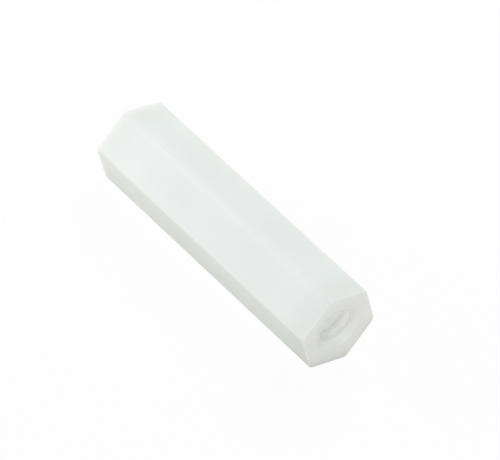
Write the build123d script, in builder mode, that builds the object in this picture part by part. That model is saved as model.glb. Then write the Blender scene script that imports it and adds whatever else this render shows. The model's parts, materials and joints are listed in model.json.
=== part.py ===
from build123d import *
import os
from math import cos, pi, radians, tan

# Hex standoff: a spacer bar of nylon with a tapped blind hole in each end.
# It lies on one of its six flats, as it comes to rest on a bench. +X runs along it to the
# near end, +Z is up, and the origin is under its middle. Sizes are in millimetres.

os.makedirs("parts", exist_ok=True)

# Hexagonal bar
length = 25.4
across_flats = 6.35
long_edge_radius = 0.3

# Corners broken by a turned cone at each end
corner_break = 0.08
corner_break_angle = 45

# Drilled and tapped hole in each end, whose wall is the crest of the thread
thread_major = 3.505
thread_pitch = 0.794
thread_depth = 9.53
tap_run_out = 1.59
drill_point_angle = 118

# Countersink at each mouth
countersink_margin = 0.35
countersink_angle = 90

# Places that follow from the sizes
axis_height = across_flats / 2
end = length / 2
sharp_corner = across_flats / 2 / cos(pi / 6)
rounded_corner = sharp_corner - long_edge_radius * (1 / cos(pi / 6) - 1)

across_the_bar = Plane(origin=(-end, 0, axis_height), x_dir=(0, 1, 0), z_dir=(1, 0, 0))
along_the_bar = Plane(origin=(0, 0, axis_height), x_dir=(1, 0, 0), z_dir=(0, -1, 0))
bar_axis = Axis(origin=(0, 0, axis_height), direction=(1, 0, 0))

# Radius left on the end face by the turned cone, and how far the cone reaches along the bar
end_radius = rounded_corner - corner_break
cone_reach = (sharp_corner - end_radius) / tan(radians(corner_break_angle))

# Half profile of one hole, from its mouth to the tip of the drill's point
drill_radius = (thread_major - thread_pitch) / 2
drill_depth = thread_depth + tap_run_out
point_depth = drill_radius / tan(radians(drill_point_angle / 2))
mouth_radius = thread_major / 2 + countersink_margin / 2
countersink_depth = (mouth_radius - drill_radius) / tan(radians(countersink_angle / 2))

with BuildPart() as hex_standoff:
    # Hexagonal section with its flats up and down and its corners softly rounded
    with BuildSketch(across_the_bar) as section:
        RegularPolygon(axis_height, 6, major_radius=False)
        fillet(section.vertices(), long_edge_radius)
    extrude(amount=length)

    # Turned envelope, which takes off the corners of both end faces
    with BuildSketch(along_the_bar) as envelope:
        with BuildLine():
            Polyline(
                (-end, 0),
                (-end, end_radius),
                (-end + cone_reach, sharp_corner),
                (end - cone_reach, sharp_corner),
                (end, end_radius),
                (end, 0),
                close=True,
            )
        make_face()
    revolve(axis=bar_axis, mode=Mode.INTERSECT)

    # Blind holes, each with its countersink, its drilled wall and the cone of the drill's point
    with BuildSketch(along_the_bar) as holes:
        with BuildLine():
            Polyline(
                (end, 0),
                (end, mouth_radius),
                (end - countersink_depth, drill_radius),
                (end - drill_depth, drill_radius),
                (end - drill_depth - point_depth, 0),
                close=True,
            )
        make_face()
        mirror(about=Plane.YZ)
    revolve(axis=bar_axis, mode=Mode.SUBTRACT)

hex_standoff.part.label = "hex_standoff"
export_step(hex_standoff.part, "parts/hex_standoff.step")

web = length - 2 * (drill_depth + point_depth)
print(f"drill {2 * drill_radius:.3f}, mouth {2 * mouth_radius:.3f}, web {web:.2f} mm")
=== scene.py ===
# %% [markdown]
# # A tapped hex standoff in natural nylon
#
# A standoff is a short hexagonal bar with a screw thread in each end. Two of them, or four,
# hold one circuit board above another. This one is natural nylon, which is milky and lets
# some light through, so most of the lesson is about two things: a real thread cut into a
# mesh, and a white plastic that still looks like plastic on a white ground.
#
# The exact solid is the frame. It is loaded first and never changed, and every size below
# is read from it where it can be.

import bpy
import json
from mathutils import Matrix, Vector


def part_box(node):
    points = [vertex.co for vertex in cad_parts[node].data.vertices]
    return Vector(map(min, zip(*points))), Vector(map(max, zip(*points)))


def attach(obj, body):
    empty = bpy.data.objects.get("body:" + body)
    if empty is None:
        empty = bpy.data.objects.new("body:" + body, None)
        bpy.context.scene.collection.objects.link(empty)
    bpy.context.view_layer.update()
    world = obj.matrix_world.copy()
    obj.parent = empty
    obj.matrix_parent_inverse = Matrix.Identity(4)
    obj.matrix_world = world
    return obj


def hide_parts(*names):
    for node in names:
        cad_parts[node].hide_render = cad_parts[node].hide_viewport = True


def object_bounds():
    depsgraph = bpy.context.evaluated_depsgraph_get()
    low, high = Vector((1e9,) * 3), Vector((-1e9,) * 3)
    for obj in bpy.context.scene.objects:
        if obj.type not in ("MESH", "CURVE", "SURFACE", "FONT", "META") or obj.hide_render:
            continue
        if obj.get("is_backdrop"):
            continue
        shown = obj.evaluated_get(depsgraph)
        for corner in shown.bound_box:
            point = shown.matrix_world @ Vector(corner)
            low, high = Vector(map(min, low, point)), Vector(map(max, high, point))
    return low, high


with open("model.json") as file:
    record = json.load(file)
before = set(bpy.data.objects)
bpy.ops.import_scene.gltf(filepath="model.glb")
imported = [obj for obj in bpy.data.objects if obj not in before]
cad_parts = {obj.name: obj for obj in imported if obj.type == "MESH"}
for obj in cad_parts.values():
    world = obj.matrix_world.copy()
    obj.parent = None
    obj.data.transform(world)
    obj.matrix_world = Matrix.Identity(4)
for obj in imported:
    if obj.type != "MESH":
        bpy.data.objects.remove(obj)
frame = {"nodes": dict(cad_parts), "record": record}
cad_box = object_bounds()
print("frame:", sorted(frame["nodes"]), "box", [tuple(corner) for corner in cad_box])

# %% [markdown]
# ## Sizes
#
# Blender works in metres here, and a standoff is easier to think of in millimetres, so one
# value carries the change of unit. The box of the solid gives the length and the width
# across the flats. The record of the part gives the radius of the drilled wall and how far
# it reaches.

# %% Read the bar's sizes from the frame
import json
from math import atan2, cos, hypot, pi, radians, sin, tan

import bmesh
import bpy
import numpy as np
from mathutils import Matrix, Vector

mm = 0.001

low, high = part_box("hex_standoff")
bar_end = (high.x - low.x) / 2
apothem = (high.z - low.z) / 2
axis_height = (high.z + low.z) / 2

tapped_ends = [m for m in frame["record"]["mounts"] if m["kind"] == "threaded_hole"]
drill_radius = tapped_ends[0]["dims"]["r_mm"] * mm
wall_length = tapped_ends[0]["dims"]["length_mm"] * mm
print(f"bar {2 * bar_end / mm:.2f} long, {2 * apothem / mm:.2f} across flats")

# %% [markdown]
# The record doesn't hold everything. The widths of the thread and of its mouth, the soft long
# edges and the broken corners are written here as the real sizes. The countersink is a cone of
# 90 degrees, so it is as deep as it is wide on one side.

# %% Sizes of the hole and the edges
long_edge_radius = 0.3 * mm
corner_break = 0.08 * mm
thread_major = 3.505 * mm
countersink_margin = 0.35 * mm
drill_point_angle = radians(118)

major_radius = thread_major / 2
mouth_radius = major_radius + countersink_margin / 2
countersink_depth = mouth_radius - drill_radius
drill_depth = countersink_depth + wall_length
point_depth = drill_radius / tan(drill_point_angle / 2)
print(f"mouth {2 * mouth_radius / mm:.3f} wide, drill {drill_depth / mm:.2f} deep to its shoulder")

# %% [markdown]
# ## The section of the bar
#
# The whole standoff is built as one skin of rings round the bar's axis, like a lathe's work
# whose rings happen to be hexagons. Each ring has the same columns of points, so the rings
# join up without a gap: out of one hole, over the end face and along the outside.
#
# The columns aren't evenly spread. A rounded corner takes up only five degrees as seen from
# the axis, so it gets six short steps of its own, and the flats share the rest. A boolean
# cut or a bevel modifier could make the same form, but then the thread's fine faces would
# meet the big flats in long slivers.

# %% Place the columns round the hexagon
sides = 6
sector = 2 * pi / sides
corner_steps = 6
flat_steps = 16
arc_centre = (apothem - long_edge_radius) / cos(sector / 2)


def hexagon_columns():
    """Angle about the axis and distance from it of each column, once round and closed."""
    angles, reaches = [], []
    for side in range(sides):
        corner = side * sector
        for step in range(corner_steps + 1):
            turn = (step / corner_steps - 0.5) * sector
            along = arc_centre + long_edge_radius * cos(turn)
            aside = long_edge_radius * sin(turn)
            angles.append(corner + atan2(aside, along))
            reaches.append(hypot(along, aside))
        start = angles[-1] - corner
        for step in range(1, flat_steps):
            turn = start + (sector - 2 * start) * step / flat_steps
            angles.append(corner + turn)
            reaches.append(apothem / cos(turn - sector / 2))
    angles.append(angles[0] + 2 * pi)
    reaches.append(reaches[0])
    return np.array(angles), np.array(reaches)


column_angle, hexagon_reach = hexagon_columns()
rounded_corner = hexagon_reach.max()
print(len(column_angle) - 1, "columns, corner reaches", round(rounded_corner / mm, 3), "mm")

# %% [markdown]
# ## The outside
#
# A ring is a pair: how deep it lies behind the end face, and how far it is from the axis,
# for every column. Where the turned cone takes off a corner, the ring's depth follows the
# line in which the cone meets the hexagon, so that the edge comes out crisp.
#
# No real edge is perfectly sharp. The rim of the end face is rounded by less than a tenth of a
# millimetre, which is enough to catch a soft line of light. The flats stop a little behind that
# curve, to leave it room, also in their middle, which the cone doesn't reach.

# %% Rings from the middle of the bar to the end face
rim_radius = 0.06 * mm
rim_room = 1.3 * rim_radius
rim_steps = 5
rings_on_flats = 8

end_radius = rounded_corner - corner_break
end_reach = np.minimum(hexagon_reach, end_radius)
cone_depth = hexagon_reach - end_reach


def outside_rings():
    """Rings along the flats, then round the rim, as (depth, radius) for every column."""
    rings = []
    flat_end = np.maximum(cone_depth, rim_room)
    for share in np.linspace(1, 0, rings_on_flats):
        rings.append((flat_end + (bar_end - flat_end) * share, hexagon_reach))
    for step in range(rim_steps + 1):
        turn = pi / 2 * step / rim_steps
        depth = rim_radius * (1 - sin(turn))
        inset = rim_radius * (1 - cos(turn))
        on_cone = np.minimum(hexagon_reach, end_radius + depth)
        rings.append((np.full_like(hexagon_reach, depth), on_cone - inset))
    return rings


print(len(outside_rings()), "rings outside, corner broken", round(cone_depth.max() / mm, 3), "mm")

# %% [markdown]
# ## The end face
#
# Across the flat end face the rings change from hexagons to circles, each a little rounder than
# the last. The inner ones roll over a soft lip into the countersink, through 45 degrees.

# %% Rings across the end face
lip_radius = 0.07 * mm
lip_turn = pi / 4
lip_steps = 4
face_steps = 5


def end_face_rings():
    """Rings across the flat end face and over the soft lip into the countersink."""
    rings = []
    rim = end_reach - rim_radius
    lip = mouth_radius + lip_radius * tan(lip_turn / 2)
    for share in np.linspace(0, 1, face_steps + 1)[1:]:
        rings.append((np.zeros_like(rim), rim + (lip - rim) * share))
    for step in range(1, lip_steps + 1):
        turn = lip_turn * step / lip_steps
        depth = lip_radius * (1 - cos(turn))
        radius = lip - lip_radius * sin(turn)
        rings.append((np.full_like(rim, depth), np.full_like(rim, radius)))
    return rings


lip_depth = lip_radius * (1 - cos(lip_turn))
print(len(end_face_rings()), "rings on the end face, lip", round(lip_depth / mm, 3), "mm deep")

# %% [markdown]
# ## The thread
#
# A tap cuts a V groove of 60 degrees that climbs one pitch for each turn, here 32 turns to the
# inch. Its root is flat over an eighth of the pitch, and what the groove leaves of the drilled
# wall is the crest. Seen along the wall, that is a profile with four corners, which repeats
# with every pitch. Places on it are given as a phase, from 0 to 1 over one pitch.
#
# A cut corner in nylon is never quite sharp. The radius is averaged over three places close
# together, of which the middle one counts for half. That rounds the corners of the profile and
# leaves its straight parts as they are.

# %% Profile of the tap
inch = 25.4 * mm
turns_per_inch = 32
pitch = inch / turns_per_inch
thread_angle = radians(60)
root = 1 / 8
edge_softness = 0.035
side_share = 0.25

flank = (major_radius - drill_radius) * tan(thread_angle / 2) / pitch
crest = 1 - root - 2 * flank
corner_phases = np.array([0, crest, crest + flank, crest + flank + root, 1])
corner_radii = np.array([drill_radius, drill_radius, major_radius, major_radius, drill_radius])


def groove(phase):
    """Radius of the tap's profile, with its four corners slightly softened."""
    middle_share = 1 - 2 * side_share
    places = ((-edge_softness, side_share), (0, middle_share), (edge_softness, side_share))
    return sum(
        share * np.interp((phase + shift) % 1, corner_phases, corner_radii)
        for shift, share in places
    )


print(f"thread flank {flank:.3f}, root {root:.3f}, crest {crest:.3f} of a pitch")

# %% [markdown]
# The groove can be seen as a height map wrapped round the hole: the wall's radius is a function
# of the depth and the angle. Three cutters shape it, and the widest one wins at each point:
#
# - the tap, whose tapered tip fades out at the bottom of the thread
# - the drill, whose wall is what stays between the grooves
# - the countersink, a cone at the mouth

# %% Radius of the tapped wall
full_turns = 12
taper_turns = 1.5
thread_depth = full_turns * pitch
tap_taper = taper_turns * pitch


def wall_radius(depth, angle, start):
    """Radius of the hole at a depth and an angle: the widest of countersink, tap and drill."""
    tapped = groove((depth - start) / pitch + angle / (2 * pi))
    tip = major_radius - (depth - thread_depth) * (major_radius - drill_radius) / tap_taper
    countersink = mouth_radius - depth
    return np.maximum(np.maximum(countersink, np.minimum(tapped, tip)), drill_radius)


print("full thread to", round(thread_depth / mm, 2), "mm, run out over", round(tap_taper / mm, 2))

# %% [markdown]
# Rings laid straight across would chop the groove's edges into steps. These rings climb with
# the groove instead, each at its own place on the profile, and are held back at the mouth and
# at the bottom. Points that end up in one place there are welded later.
#
# Along the climb a ring ends one pitch away from where it began. Its two ends must still meet
# points of the next turns, so the rings start one turn above the mouth and go on until the last
# one has passed the drill's shoulder all the way round.

# %% Climbing rings
first_turn = -1
spare_turns = 2
point_rings = 3


def knot_phases():
    """Where on the profile the climbing rings run: close round each corner, and between them."""
    knots = []
    for here, after in zip(corner_phases[:-1], corner_phases[1:]):
        knots += [here - edge_softness, here, here + edge_softness, (here + after) / 2]
    return sorted(knots)


def hole_rings(start):
    """Climbing rings down the tapped wall, then the cone left by the drill's point."""
    rings = []
    last_turn = int(drill_depth / pitch) + spare_turns
    for turn in range(first_turn, last_turn):
        for phase in knot_phases():
            climbed = start + (turn + phase - column_angle / (2 * pi)) * pitch
            depth = np.clip(climbed, lip_depth, drill_depth)
            rings.append((depth, wall_radius(depth, column_angle, start)))
    for step in range(1, point_rings + 1):
        share = step / point_rings
        depth = np.full_like(column_angle, drill_depth + share * point_depth)
        rings.append((depth, np.full_like(column_angle, drill_radius * (1 - share))))
    return rings


print(len(knot_phases()), "rings to a turn,", len(hole_rings(0)), "rings in a hole")

# %% [markdown]
# ## Join the rings
#
# Half the standoff is built from its middle outwards and down into its hole. The rings become
# a grid of points, and each square of that grid becomes a face.

# %% Points and faces of one half


def half_bar(start):
    """Points and faces of the half with its end at +X, the faces as indices into the points."""
    rings = outside_rings() + end_face_rings() + hole_rings(start)
    points = []
    for depth, radius in rings:
        across = radius * np.cos(column_angle)
        upward = radius * np.sin(column_angle)
        points.append(np.stack([bar_end - depth, across, upward], axis=1))
    points = np.array(points)
    rows, columns = points.shape[:2]
    index = np.arange(rows * columns).reshape(rows, columns)
    corners = (index[:-1, :-1], index[1:, :-1], index[1:, 1:], index[:-1, 1:])
    return points.reshape(-1, 3), np.stack(corners, axis=2).reshape(-1, 4)


print(len(half_bar(0)[0]), "points in each half before welding")

# %% [markdown]
# The other half is the same half turned round, not mirrored, because a mirrored thread would be
# left-handed. Each half has its own starting depth for the thread, as two separate cuts would.
#
# Welding the points that share a place closes the skin. A closed skin matters here: light
# travels through the nylon, and it would leak out of a gap. Bmesh does the welding, turns all
# the faces the same way out, and counts the edges that don't have exactly two faces, so the
# print says at once whether the skin is closed.
#
# Edges sharper than 32 degrees are marked sharp. The rounded corners turn in steps of ten
# degrees, so they shade as curves, while the flats stay flat.

# %% Build the closed skin
weld_distance = 0.0002 * mm
sharp_from = radians(32)


def standoff_mesh(name, near_start, far_start):
    """The whole standoff as one welded mesh, with flat flats and smooth curves."""
    near, near_faces = half_bar(near_start)
    far, far_faces = half_bar(far_start)
    turned_round = far * (-1, -1, 1)
    points = np.concatenate([near, turned_round]) + (0, 0, axis_height)
    faces = np.concatenate([near_faces, far_faces + len(near)])

    mesh = bpy.data.meshes.new(name)
    mesh.from_pydata(points.tolist(), [], faces.tolist())
    skin = bmesh.new()
    skin.from_mesh(mesh)
    bmesh.ops.remove_doubles(skin, verts=skin.verts, dist=weld_distance)
    bmesh.ops.recalc_face_normals(skin, faces=skin.faces)
    open_edges = sum(not edge.is_manifold for edge in skin.edges)
    print(len(skin.faces), "faces,", open_edges, "open edges")
    print("volume", round(skin.calc_volume() / mm**3, 1), "cubic mm")
    skin.to_mesh(mesh)
    skin.free()
    mesh.polygons.foreach_set("use_smooth", [True] * len(mesh.polygons))
    mesh.set_sharp_from_angle(angle=sharp_from)
    return mesh


near_thread_start = 0.2 * mm
far_thread_start = 0.55 * mm
bar_mesh = standoff_mesh("nylon_standoff", near_thread_start, far_thread_start)

# %% [markdown]
# The mesh becomes an object that rides with the one body of the frame, and takes the place of
# the plain solid. Weighted normals let the big flats decide how the thin faces beside them
# shade, so that a flat stays even right up to its edge.

# %% Put the standoff in the frame
standoff = bpy.data.objects.new("nylon_standoff", bar_mesh)
bpy.context.scene.collection.objects.link(standoff)
even_normals = standoff.modifiers.new("even_normals", "WEIGHTED_NORMAL")
even_normals.keep_sharp = True

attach(standoff, "root")
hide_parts("hex_standoff")
print("standoff stands in for the plain solid")

# %% [markdown]
# ## Shader maths as plain sums
#
# Shader nodes are easier to read as sums than as a list of boxes and wires. The class below
# stands for one wire. Adding or multiplying wires makes the Math nodes behind the scenes, and
# the reflected forms let a plain number stand first, as in 1 - mask.

# %% A wire that Python can do sums with


class Wire:
    """One value on its way between nodes."""

    def __init__(self, recipe, socket):
        self.recipe = recipe
        self.socket = socket

    def math(self, operation, *values):
        """A Math node with these values or wires in its sockets."""
        sockets = dict(zip(("Value", "Value_001"), values))
        return self.recipe.node("Math", {"operation": operation}, sockets)

    def __add__(self, other):
        return self.math("ADD", self, other)

    def __radd__(self, other):
        return self.math("ADD", other, self)

    def __sub__(self, other):
        return self.math("SUBTRACT", self, other)

    def __rsub__(self, other):
        return self.math("SUBTRACT", other, self)

    def __mul__(self, other):
        return self.math("MULTIPLY", self, other)

    def __rmul__(self, other):
        return self.math("MULTIPLY", other, self)

    def __pow__(self, other):
        return self.math("POWER", self, other)

    def __abs__(self):
        return self.math("ABSOLUTE", self)

    def fade(self, start, end):
        """A mask that is 0 at start, 1 at end, and smooth between them."""
        sockets = {"Value": self, "From Min": start, "From Max": end}
        return self.recipe.node("MapRange", {"interpolation_type": "SMOOTHSTEP"}, sockets, "Result")


# %% [markdown]
# Every other node comes from one method. It takes the node's type, its settings, which have to
# be made first because they can change the sockets, and then what goes into its sockets. The
# same class writes the recipe of a material, of the ground and of the world's light.

# %% A recipe that makes nodes


class Recipe:
    """The nodes of one material or world, made one after the other."""

    def __init__(self, owner):
        owner.use_nodes = True
        self.tree = owner.node_tree
        self.tree.nodes.clear()

    def node(self, kind, settings=None, inputs=None, output=None):
        """Makes a node from its type, its settings and the values or wires of its sockets."""
        made = self.tree.nodes.new("ShaderNode" + kind)
        for name, value in (settings or {}).items():
            setattr(made, name, value)
        for name, value in (inputs or {}).items():
            socket = self.find(made.inputs, name)
            if isinstance(value, Wire):
                self.tree.links.new(value.socket, socket)
            else:
                socket.default_value = value
        if made.outputs:
            return Wire(self, self.find(made.outputs, output))
        return None

    def find(self, sockets, name):
        """The socket with this identifier or name, or the first socket where no name is given."""
        return next(s for s in sockets if name in (None, s.identifier, s.name))

    def blend(self, share, first, second):
        """A colour between two colours."""
        sockets = {"Factor_Float": share, "A_Color": first, "B_Color": second}
        return self.node("Mix", {"data_type": "RGBA"}, sockets, "Result_Color")


# %% [markdown]
# ## Places on the bar
#
# The finish changes from place to place: the flats were drawn through a die, the end faces were
# turned, and the hole was drilled and tapped. A few masks find those places from the position
# alone, so they don't depend on how the mesh was unwrapped. Distance from the axis tells the
# hole from the outside, and distance along the axis finds the ends and the depth of the hole.
# The mask of the ends marks no finish: it is where shade is painted into the colour.

# %% Masks from the position
# Over this length at each end the flats are painted a shade greyer: painted shade.
painted_end_shade_length = 4.6 * mm


def bar_places(recipe):
    """Position, distance from the axis, and masks of the mouth, thread and end faces, and of the
    ends, where shade is painted.
    """
    place = recipe.node("TexCoord", output="Object")
    along = abs(recipe.node("SeparateXYZ", {}, {"Vector": place}, "X"))
    across = recipe.node("SeparateXYZ", {}, {"Vector": place}, "Y")
    upward = recipe.node("SeparateXYZ", {}, {"Vector": place}, "Z") - axis_height
    from_axis = (across**2 + upward**2) ** 0.5
    mouth = from_axis.fade(mouth_radius + lip_radius, mouth_radius - lip_radius)
    past_countersink = along.fade(bar_end - countersink_depth / 2, bar_end - countersink_depth)
    return {
        "place": place,
        "from_axis": from_axis,
        "mouth": mouth,
        "thread": mouth * past_countersink,
        "faced": along.fade(bar_end - rim_radius, bar_end - rim_radius / 2),
        # The ends of the bar, where shade is painted into the colour.
        "painted_end_shade": along.fade(bar_end - painted_end_shade_length, bar_end),
    }


print("end zones reach", round(painted_end_shade_length / mm, 1), "mm along the flats")

# %% [markdown]
# ## Colour of natural nylon
#
# Plain nylon has no pigment. It is nearly white, with a little less red than green and blue, and
# faint clouds where its tiny crystals grew unevenly. Near each end the flats are painted a shade
# greyer, as painted shade for the light that leaks out through the end face. The turned end face
# is a little duller than the drawn flats, as a cut surface. The countersink is a cut surface too,
# and is painted a shade darker still, as painted shade in the mouth of the hole.
#
# The tapped wall is painted paler, nearly pure white, which is painted light that lifts the shade
# in the hole. Light bounces in there dozens of times before it comes out, and with the colour of
# the outside the hole would look like a dark pit, which nylon never does.

# %% Base colour
flat_white = (0.888, 0.957, 0.944, 1)
cloud_white = (0.906, 0.976, 0.961, 1)
# Painted shade: the colour of the flats near each end, a shade greyer.
painted_end_shade_white = (0.822, 0.836, 0.833, 1)
faced_white = (0.9, 0.91, 0.893, 1)
# The countersink: duller as a cut surface, and darker as painted shade in the mouth of the hole.
cut_and_shaded_mouth_white = (0.885, 0.898, 0.878, 1)
# Painted light: the tapped wall nearly pure white, which lifts the shade in the hole.
painted_light_thread_white = (0.998, 0.9995, 0.998, 1)
clouds_per_metre = 260.0
cloud_detail = 3.0


def nylon_colour(recipe, places):
    """Near white, with faint clouds, painted shade at the ends and the countersink, and a tapped
    wall painted pale as painted light.
    """
    sockets = {"Vector": places["place"], "Scale": clouds_per_metre, "Detail": cloud_detail}
    cloud = recipe.node("TexNoise", {}, sockets, "Fac")
    colour = recipe.blend(cloud, flat_white, cloud_white)
    # Painted shade near each end.
    colour = recipe.blend(places["painted_end_shade"], colour, painted_end_shade_white)
    colour = recipe.blend(places["faced"], colour, faced_white)
    # Countersink: a cut surface, and painted shade.
    colour = recipe.blend(places["mouth"], colour, cut_and_shaded_mouth_white)
    # Painted light in the tapped wall.
    return recipe.blend(places["thread"], colour, painted_light_thread_white)


print("clouds are about", round(1 / clouds_per_metre / mm, 1), "mm across")

# %% [markdown]
# ## Marks of the tools
#
# Two kinds of fine line tell how the bar was made. The die that shaped the hexagon left draw
# lines along the flats. Noise squeezed across the bar and stretched along it gives such lines,
# on all six flats at once. The facing tool left rings on the end faces, which are noise of the
# distance from the axis alone. The spacing is in what goes into the noise, so the noise itself
# keeps a scale of 1. Its detail says how many times finer ripples are added to the coarse ones.

# %% Patterns of the draw lines and the facing rings
draw_line_spacing = 0.16 * mm
draw_line_length = 9 * mm
draw_line_detail = 2.0
ring_spacing = 0.13 * mm
ring_detail = 1.0


def tool_marks(recipe, places):
    """Heights of the draw lines and of the facing rings, both from 0 to 1."""
    stretch = (1 / draw_line_length, 1 / draw_line_spacing, 1 / draw_line_spacing)
    sockets = {"Vector": places["place"], "Vector_001": stretch}
    stretched = recipe.node("VectorMath", {"operation": "MULTIPLY"}, sockets)
    sockets = {"Vector": stretched, "Scale": 1.0, "Detail": draw_line_detail}
    lines = recipe.node("TexNoise", {}, sockets, "Fac")
    outward = places["from_axis"] * (1 / ring_spacing)
    sockets = {"W": outward, "Scale": 1.0, "Detail": ring_detail}
    rings = recipe.node("TexNoise", {"noise_dimensions": "1D"}, sockets, "Fac")
    return lines, rings


print("draw lines", round(draw_line_spacing / mm, 2), "mm apart")

# %% [markdown]
# Both are only a few thousandths of a millimetre deep, so they are bump and not geometry, and
# they show where the light glances along the surface. Their heights are in metres already, which
# is why the Bump node's distance is 1.

# %% Bump of the tool marks
draw_line_depth = 0.0025 * mm
ring_depth = 0.004 * mm


def marked_normal(recipe, places, lines, rings):
    """Normal with draw lines on the flats and rings on the end faces, and none in the hole."""
    outside = 1 - places["mouth"]
    line_height = lines * (1 - places["faced"]) * outside * draw_line_depth
    ring_height = rings * places["faced"] * outside * ring_depth
    return recipe.node("Bump", {}, {"Height": line_height + ring_height, "Distance": 1.0})


print("draw lines", round(draw_line_depth / mm, 4), "mm deep, rings", round(ring_depth / mm, 4))

# %% [markdown]
# ## Light inside the plastic
#
# Light goes into natural nylon, scatters among the crystals, and comes out again a millimetre or
# two away. That is why its edges are soft, why an end face glows near a lit flat, and why the
# hole isn't dark. The Principled shader's subsurface part follows the light on its real path
# through the mesh, and its scale is a real length.
#
# The surface itself is satin: drawn nylon isn't polished. The draw lines vary the roughness a
# little, the tapped wall is smoother than the flats, and the turned end face is rougher.

# %% Finish of the standoff
scatter_length = 2.0 * mm
nylon_ior = 1.53
satin = 0.6
line_roughness = 0.1
tapped_smoothness = 0.12
faced_roughness = 0.04


def natural_nylon():
    """Milky, translucent, unpigmented nylon with a satin surface."""
    material = bpy.data.materials.new("natural_nylon")
    recipe = Recipe(material)
    places = bar_places(recipe)
    lines, rings = tool_marks(recipe, places)
    roughness = satin + line_roughness * lines + faced_roughness * places["faced"]
    roughness -= tapped_smoothness * places["mouth"]
    sockets = {
        "Base Color": nylon_colour(recipe, places),
        "Roughness": roughness,
        "IOR": nylon_ior,
        "Normal": marked_normal(recipe, places, lines, rings),
        "Subsurface Weight": 1.0,
        "Subsurface Radius": (1.0, 1.0, 1.0),
        "Subsurface Scale": scatter_length,
    }
    skin = recipe.node("BsdfPrincipled", {"subsurface_method": "RANDOM_WALK"}, sockets)
    recipe.node("OutputMaterial", {}, {"Surface": skin})
    return material


standoff.data.materials.append(natural_nylon())
print("light scatters over", round(scatter_length / mm, 1), "mm")

# %% [markdown]
# ## Ground and room
#
# The standoff lies on a white sheet in a white room, and the background of the picture is pure
# white. More light wouldn't do: it would wash out the nylon first. Instead the Light Path node
# asks what kind of ray is looking. The camera, and reflections, see nearly plain white. Light
# that bounces from the sheet onto the bar sees a sheet that is slightly grey and warm, as paper
# is.

# %% Which rays see plain white


def seen_directly(recipe):
    """1 for a ray from the camera, from a reflection or through glass, and 0 for other light."""
    camera_ray = recipe.node("LightPath", output="Is Camera Ray")
    glossy_ray = recipe.node("LightPath", output="Is Glossy Ray")
    glass_ray = recipe.node("LightPath", output="Is Transmission Ray")
    return (camera_ray + glossy_ray + glass_ray).fade(0, 1)


plain_white = (1, 1, 1, 1)
print("camera, glossy and transmission rays see plain white")

# %% [markdown]
# The plain white is only part of what the camera sees of the sheet. The rest is the lit sheet,
# which keeps the soft shadow under the bar.

# %% The white sheet's material
shown_share = 0.93
paper_colour = (0.775, 0.742, 0.69, 1)


def white_ground():
    """White paper that keeps a shadow."""
    material = bpy.data.materials.new("white_ground")
    recipe = Recipe(material)
    seen = seen_directly(recipe)
    lit = recipe.node("BsdfDiffuse", {}, {"Color": recipe.blend(seen, paper_colour, plain_white)})
    white = recipe.node("Emission", {}, {"Color": plain_white, "Strength": 1.0})
    sockets = {"Fac": seen * shown_share, "Shader": lit, "Shader_001": white}
    recipe.node("OutputMaterial", {}, {"Surface": recipe.node("MixShader", {}, sockets)})
    return material


print("the camera sees", shown_share, "plain white and the rest lit paper")

# %% [markdown]
# The sheet itself is one square face, far wider than the camera sees.

# %% Lay the sheet
sheet_width = 3.0
reach = sheet_width / 2
sheet_corners = [(-reach, -reach, 0), (reach, -reach, 0), (reach, reach, 0), (-reach, reach, 0)]

sheet_mesh = bpy.data.meshes.new("paper_sheet")
sheet_mesh.from_pydata(sheet_corners, [], [(0, 1, 2, 3)])
sheet_mesh.materials.append(white_ground())
sheet = bpy.data.objects.new("paper_sheet", sheet_mesh)
bpy.context.scene.collection.objects.link(sheet)
sheet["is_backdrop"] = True
print("sheet", sheet_width, "m wide")

# %% [markdown]
# The room gives about half of the light, the same from every side, as white walls do, and
# slightly cool. Seen directly it is plain white too, for the views that look past the sheet.

# %% The room's light
room_strength = 0.5
room_colour = (0.96, 1.0, 0.998, 1)


def white_room():
    """Even light from all round, and plain white behind everything."""
    world = bpy.data.worlds.new("white_room")
    recipe = Recipe(world)
    light = recipe.node("Background", {}, {"Color": room_colour, "Strength": room_strength})
    white = recipe.node("Background", {}, {"Color": plain_white, "Strength": 1.0})
    sockets = {"Fac": seen_directly(recipe), "Shader": light, "Shader_001": white}
    recipe.node("OutputWorld", {}, {"Surface": recipe.node("MixShader", {}, sockets)})
    return world


bpy.context.scene.world = white_room()
print("room gives", room_strength, "of full light")

# %% [markdown]
# ## Softboxes
#
# Three small softboxes shape the bar. One low at the side lifts the lower flat, which otherwise
# sees only the sheet, and one behind lights the top flat. Both stand nearer the far end, so that
# the light falls off slowly along the bar, and the one behind is slightly warm, or the top flat
# would look blue under the cool room. The third stands before the near end, on the side of the
# slanted flat. It reaches into the hole, and keeps that flat a shade lighter than the top one all
# along the bar. Each is placed by its distance from the middle of the bar along, across and up,
# and turned to face it.

# %% Light the bar
neutral = (1.0, 1.0, 1.0)
slightly_warm = (1.0, 1.0, 0.93)


def softbox(name, place, size, power, colour=neutral):
    """A square soft light, placed and sized in millimetres, which faces the bar's middle."""
    light = bpy.data.lights.new(name, "AREA")
    light.shape = "SQUARE"
    light.size = size * mm
    light.energy = power
    light.color = colour
    lamp = bpy.data.objects.new(name, light)
    away = Vector(place) * mm
    lamp.location = Vector((0, 0, axis_height)) + away
    lamp.rotation_mode = "QUATERNION"
    lamp.rotation_quaternion = away.to_track_quat("Z", "Y")
    lamp.visible_camera = False
    bpy.context.scene.collection.objects.link(lamp)
    print(name, round(away.length / mm), "mm away,", power, "W")


softbox("side_softbox", place=(-90, -95, 12), size=60, power=0.078)
softbox("back_softbox", place=(-65, 100, 100), size=100, power=0.087, colour=slightly_warm)
softbox("end_softbox", place=(200, -105, 75), size=120, power=0.146)

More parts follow.
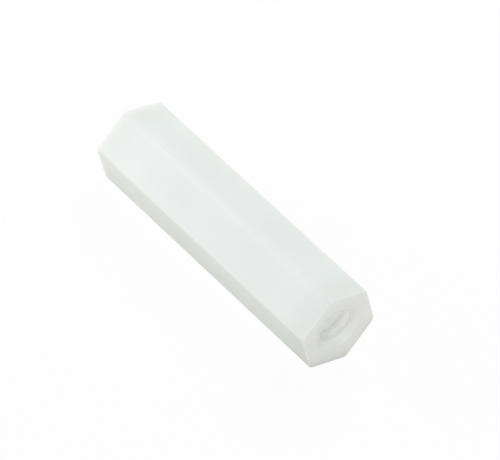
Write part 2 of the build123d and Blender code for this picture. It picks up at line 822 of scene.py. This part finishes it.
# %% [markdown]
# ## Camera
#
# The edges of the bar converge only slightly, so the lens is long and the camera stands well
# back. Its direction, roll and distance come from fitting the six corners of each end to the
# photograph. The scale is set by the width across the flats in pixels, and the aim by where the
# middle of the bar falls in the picture.

# %% Direction of the camera
camera_azimuth = radians(40.58)
camera_elevation = radians(34.84)
camera_roll = radians(16.72)
camera_distance = 415.8 * mm

level = Vector((cos(camera_azimuth), sin(camera_azimuth), 0))
behind = Vector((sin(camera_azimuth), -cos(camera_azimuth), 0)) * cos(camera_elevation)
behind.z = sin(camera_elevation)
upright = behind.cross(level)
right = level * cos(camera_roll) + upright * sin(camera_roll)
up = behind.cross(right)
print("camera looks from", [round(part, 3) for part in behind])

# %% Aim of the camera
image_width = 500
image_height = 460
bar_middle_px = (233.95, 232.85)
flats_px = 82.99

px = 2 * apothem / flats_px
aim = Vector((0, 0, axis_height))
aim += right * (image_width / 2 - bar_middle_px[0]) * px
aim += up * (bar_middle_px[1] - image_height / 2) * px
print("one pixel covers", round(px / mm, 4), "mm at the bar's middle")

# %% [markdown]
# The camera looks along its own -Z, so its three axes are the picture's right, the picture's
# up, and the direction back towards the camera. The lens follows from the distance and the
# width that the picture covers there.

# %% Place the camera
film_width_mm = 36
nearest_seen = 10 * mm
farthest_seen = 10.0

lens = bpy.data.cameras.new("camera")
lens.sensor_width = film_width_mm
lens.lens = film_width_mm * camera_distance / (image_width * px)
lens.clip_start = nearest_seen
lens.clip_end = farthest_seen

camera = bpy.data.objects.new("camera", lens)
turn = Matrix((right, up, behind)).transposed().to_4x4()
camera.matrix_world = Matrix.Translation(aim + behind * camera_distance) @ turn
bpy.context.scene.collection.objects.link(camera)
bpy.context.scene.camera = camera
print("lens", round(lens.lens), "mm")

# %% [markdown]
# ## Picture settings
#
# The Standard view shows each colour as it is written. Pale plastic needs many bounces: with
# only the usual few, the light inside the hole would be cut off before it got out.

# %% View and bounces
all_bounces = 96
pale_bounces = 80

scene = bpy.context.scene
scene.view_settings.view_transform = "Standard"
scene.cycles.max_bounces = all_bounces
scene.cycles.diffuse_bounces = pale_bounces
print("light may bounce", pale_bounces, "times between pale surfaces")

# %% [markdown]
# ## Compare the sizes
#
# The last step writes down the box of the solid and the box of what is seen, so that the two
# can be compared. They should agree, since this skin is built from the solid's own sizes.

# %% Write both boxes and finish
bpy.context.view_layer.update()
boxes = {"cad": cad_box, "visual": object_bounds()}
for name, box in boxes.items():
    print(name, [[round(value / mm, 3) for value in corner] for corner in box])
